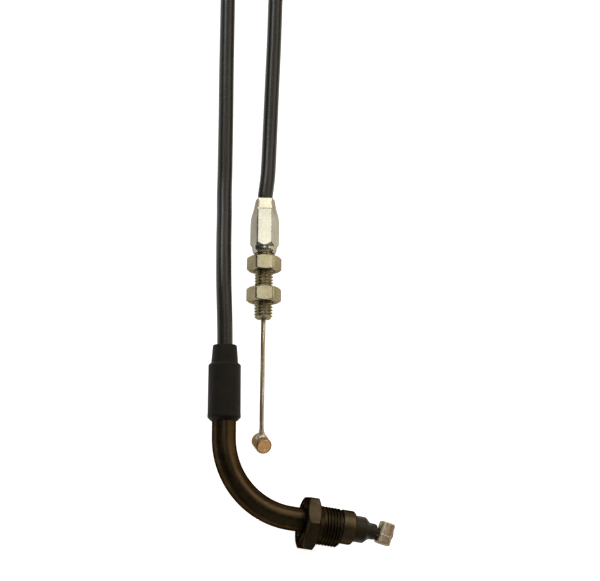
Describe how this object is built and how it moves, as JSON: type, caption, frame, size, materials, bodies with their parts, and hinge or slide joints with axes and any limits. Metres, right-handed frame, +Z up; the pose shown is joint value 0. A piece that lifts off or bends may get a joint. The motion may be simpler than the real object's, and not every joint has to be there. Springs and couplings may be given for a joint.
{
  "type": "throttle cable",
  "caption": "Motorcycle throttle cable with a bent steel guide tube, swivelling union screw, rubber boot, sliding inner wire, barrel nipples and a threaded adjuster with lock nuts.",
  "frame": {"origin": "on the union thread's axis, where the hexagon's front face meets the thread", "axes": "+Z up from the surface the cable lies on; +Y along the straight leg of the guide tube, towards the casing; X to the right, the grip nipple's side"},
  "size_m": [0.0738, 0.2824, 0.0189],
  "materials": {
    "black_oxide": "satin",
    "tube_black": "satin",
    "steel_nut": "zinc plated",
    "adjuster_zinc": "zinc plated",
    "wire_steel": "stranded",
    "armour_steel": "plain",
    "nipple_alloy": "die cast",
    "nipple_brass": "tarnished",
    "solder": "dull",
    "ferrule_steel": "plain",
    "boot_rubber": "matte",
    "jacket_plastic": "satin",
    "nose_plastic": "satin",
    "liner_plastic": "natural",
    "tie_plastic": "matte"
  },
  "bodies": {
    "casing": {"guide_tube": "tube_black", "tube_end_collar": "tube_black", "nose_cap": "nose_plastic", "guide_tube_liner": "liner_plastic", "inner_wire_middle": "wire_steel", "casing_ferrule": "ferrule_steel", "jacket_end_grip": "jacket_plastic", "armour_end_grip": "armour_steel", "liner_end_grip": "liner_plastic", "casing_run_grip": "jacket_plastic", "casing_coil": "jacket_plastic", "coil_ties": "tie_plastic", "casing_run_carb": "jacket_plastic", "adjuster_screw": "adjuster_zinc", "jacket_end_carb": "jacket_plastic", "armour_end_carb": "armour_steel", "liner_end_carb": "liner_plastic"},
    "union": {"union_screw": "black_oxide"},
    "grip_wire": {"inner_wire_grip": "wire_steel", "grip_nipple": "nipple_alloy", "grip_nipple_solder": "solder"},
    "carb_wire": {"inner_wire_carb": "wire_steel", "carb_nipple": "nipple_brass", "carb_nipple_solder": "solder"},
    "boot": {"rubber_boot": "boot_rubber"},
    "upper_nut": {"upper_lock_nut": "steel_nut"},
    "lower_nut": {"lower_lock_nut": "steel_nut"}
  },
  "joints": [
    {"name": "union_spin", "type": "hinge", "parent": "casing", "child": "union", "pos_m": [0, 0, 0], "axis": [0.9893, -0.1461, 0], "continuous": true},
    {"name": "grip_pull", "type": "slide", "parent": "casing", "child": "grip_wire", "axis": [0.9893, -0.1461, 0], "range_m": [0, 0.026]},
    {"name": "carb_pull", "type": "slide", "parent": "casing", "child": "carb_wire", "axis": [0.0105, 0.9999, 0], "range_m": [0, 0.026]},
    {"name": "boot_slide", "type": "slide", "parent": "casing", "child": "boot", "axis": [0, 1, 0], "range_m": [0, 0.006]},
    {"name": "upper_nut_run", "type": "slide", "parent": "casing", "child": "upper_nut", "axis": [0.0105, 0.9999, 0], "range_m": [-0.0028, 0.0008]},
    {"name": "lower_nut_run", "type": "slide", "parent": "casing", "child": "lower_nut", "axis": [0.0105, 0.9999, 0], "range_m": [-0.005, 0.0025]}
  ],
  "couplings": [
    {"joint": "carb_pull", "follows": "grip_pull", "ratio": 1}
  ]
}
